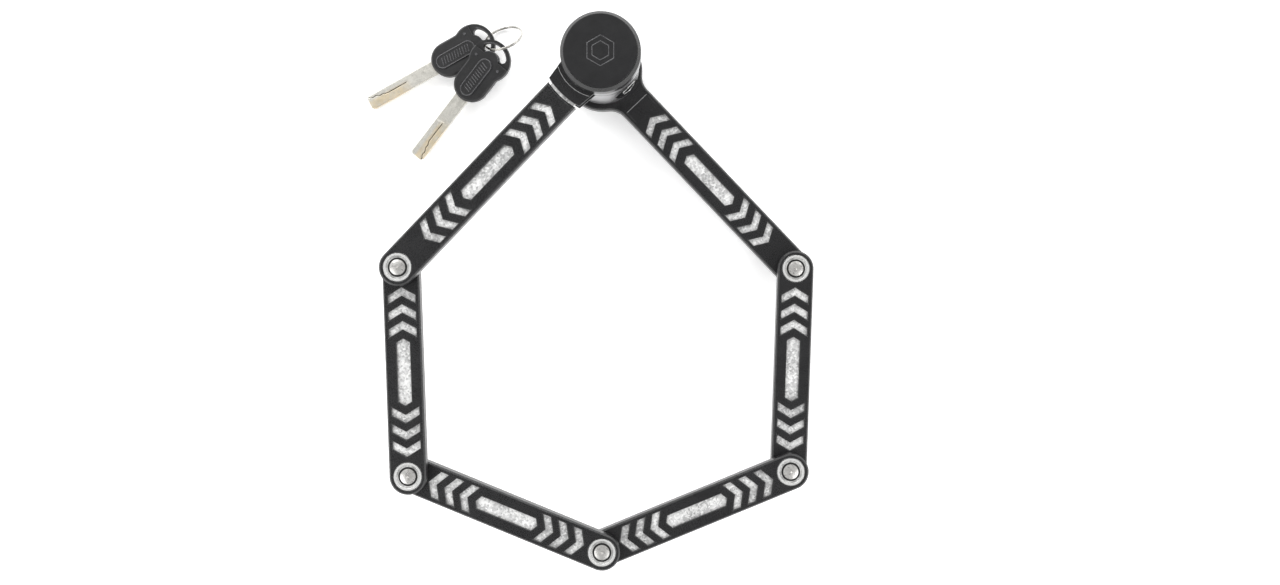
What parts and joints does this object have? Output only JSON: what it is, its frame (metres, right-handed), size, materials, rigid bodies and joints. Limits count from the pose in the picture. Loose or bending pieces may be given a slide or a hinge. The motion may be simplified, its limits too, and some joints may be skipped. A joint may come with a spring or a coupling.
{
  "type": "folding bike lock",
  "caption": "Folding bicycle lock of riveted, plastic-covered steel links that close on a cylindrical key-operated lock barrel, laid open as a loop, with its keys.",
  "frame": {"origin": "centre of the lock barrel's lower end, on the barrel axis, in the plane that the lock rests on", "axes": "+Z along the barrel from the key end to the closed end; -Y from the barrel across the opened loop; link 1 on the -X side and link 6 on the +X side"},
  "size_m": [0.2824, 0.3394, 0.066],
  "materials": {
    "hardened_steel": "galvanised, fine grain",
    "cover_plastic": "fine satin texture",
    "rivet_steel": "turned dome",
    "washer_steel": "dished, bead blasted",
    "spacer_nylon": "plain",
    "cap_plastic": "satin",
    "core_steel": "machined",
    "screw_steel": "blackened",
    "sleeve_aluminium": "satin anodised",
    "badge_plastic": "gloss",
    "shutter_steel": "polished",
    "lock_brass": "machined",
    "key_nickel": "nickel plated",
    "key_plastic": "fine texture",
    "ring_steel": "polished"
  },
  "bodies": {
    "barrel": {"upper_cap": "cap_plastic", "upper_face": "cap_plastic", "socket_floor": "cap_plastic", "stop_block": "core_steel", "upper_cap_screws": "screw_steel", "end_cap_screws": "screw_steel", "lock_housing": "core_steel", "guide_pin": "core_steel", "barrel_sleeve": "sleeve_aluminium", "badge_plate": "badge_plastic", "badge_pins": "screw_steel", "key_end_cap": "cap_plastic", "shutter_pin": "screw_steel"},
    "plug": {"key_plug": "lock_brass", "plug_clip": "core_steel", "detainer_discs": "lock_brass", "disc_spacers": "lock_brass", "sidebar": "core_steel", "bolt_cam": "core_steel"},
    "bolt": {"locking_bolt": "core_steel"},
    "shutter": {"dust_shutter": "shutter_steel"},
    "link_6": {"bar_6": "hardened_steel", "cover_6": "cover_plastic", "swivel_bush": "lock_brass", "rivet_5": "rivet_steel", "rivet_washers_5": "washer_steel", "link_spacer_5": "spacer_nylon"},
    "ring": {"key_ring": "ring_steel"},
    "key_1": {"key_1_blade": "key_nickel", "key_1_head": "key_plastic"},
    "key_2": {"key_2_blade": "key_nickel", "key_2_head": "key_plastic"},
    "link_5": {"bar_5": "hardened_steel", "cover_5": "cover_plastic", "rivet_4": "rivet_steel", "rivet_washers_4": "washer_steel", "link_spacer_4": "spacer_nylon"},
    "link_4": {"bar_4": "hardened_steel", "cover_4": "cover_plastic", "rivet_3": "rivet_steel", "rivet_washers_3": "washer_steel", "link_spacer_3": "spacer_nylon"},
    "link_3": {"bar_3": "hardened_steel", "cover_3": "cover_plastic", "rivet_2": "rivet_steel", "rivet_washers_2": "washer_steel", "link_spacer_2": "spacer_nylon"},
    "link_2": {"bar_2": "hardened_steel", "cover_2": "cover_plastic", "rivet_1": "rivet_steel", "rivet_washers_1": "washer_steel", "link_spacer_1": "spacer_nylon"},
    "link_1": {"bar_1": "hardened_steel", "cover_1": "cover_plastic"}
  },
  "joints": [
    {"name": "barrel_swivel", "type": "hinge", "parent": "barrel", "child": "link_6", "pos_m": [0, 0, 0.01175], "axis": [0, 0, -1], "range_deg": [0, 87.2]},
    {"name": "rivet_5_hinge", "type": "hinge", "parent": "link_6", "child": "link_5", "pos_m": [0.11999, -0.12601, 0.016], "axis": [0, 0, 1], "range_deg": [0, 225.6]},
    {"name": "rivet_4_hinge", "type": "hinge", "parent": "link_5", "child": "link_4", "pos_m": [0.11563, -0.25093, 0.0245], "axis": [0, 0, 1], "range_deg": [0, 245.68]},
    {"name": "rivet_3_hinge", "type": "hinge", "parent": "link_4", "child": "link_3", "pos_m": [0, -0.29841, 0.033], "axis": [0, 0, 1], "range_deg": [0, 224.65]},
    {"name": "rivet_2_hinge", "type": "hinge", "parent": "link_3", "child": "link_2", "pos_m": [-0.11563, -0.25093, 0.0415], "axis": [0, 0, 1], "range_deg": [0, 245.68]},
    {"name": "rivet_1_hinge", "type": "hinge", "parent": "link_2", "child": "link_1", "pos_m": [-0.11999, -0.12601, 0.05], "axis": [0, 0, 1], "range_deg": [0, 225.6]},
    {"name": "key_turn", "type": "hinge", "parent": "barrel", "child": "plug", "pos_m": [0, 0, 0.02], "axis": [0, 0, 1], "range_deg": [0, 90]},
    {"name": "bolt_travel", "type": "slide", "parent": "barrel", "child": "bolt", "axis": [0, 0, 1], "range_m": [0, 0.008]},
    {"name": "shutter_swing", "type": "hinge", "parent": "barrel", "child": "shutter", "pos_m": [0, 0.01, 0.0013], "axis": [0, 0, 1], "range_deg": [0, 85]},
    {"name": "keys_lift", "type": "slide", "parent": "barrel", "child": "ring", "axis": [0, 0, 1], "range_m": [0, 0.03]},
    {"name": "key_1_swing", "type": "hinge", "parent": "ring", "child": "key_1", "pos_m": [-0.0751, 0.0194, 0.007], "axis": [0, 0, -1], "range_deg": [0, 15]},
    {"name": "key_2_swing", "type": "hinge", "parent": "ring", "child": "key_2", "pos_m": [-0.0712, 0.0122, 0.0156], "axis": [0, 0, 1], "range_deg": [0, 8]}
  ],
  "couplings": [
    {"joint": "key_turn", "follows": "bolt_travel", "rad_per_m": 196.35}
  ]
}
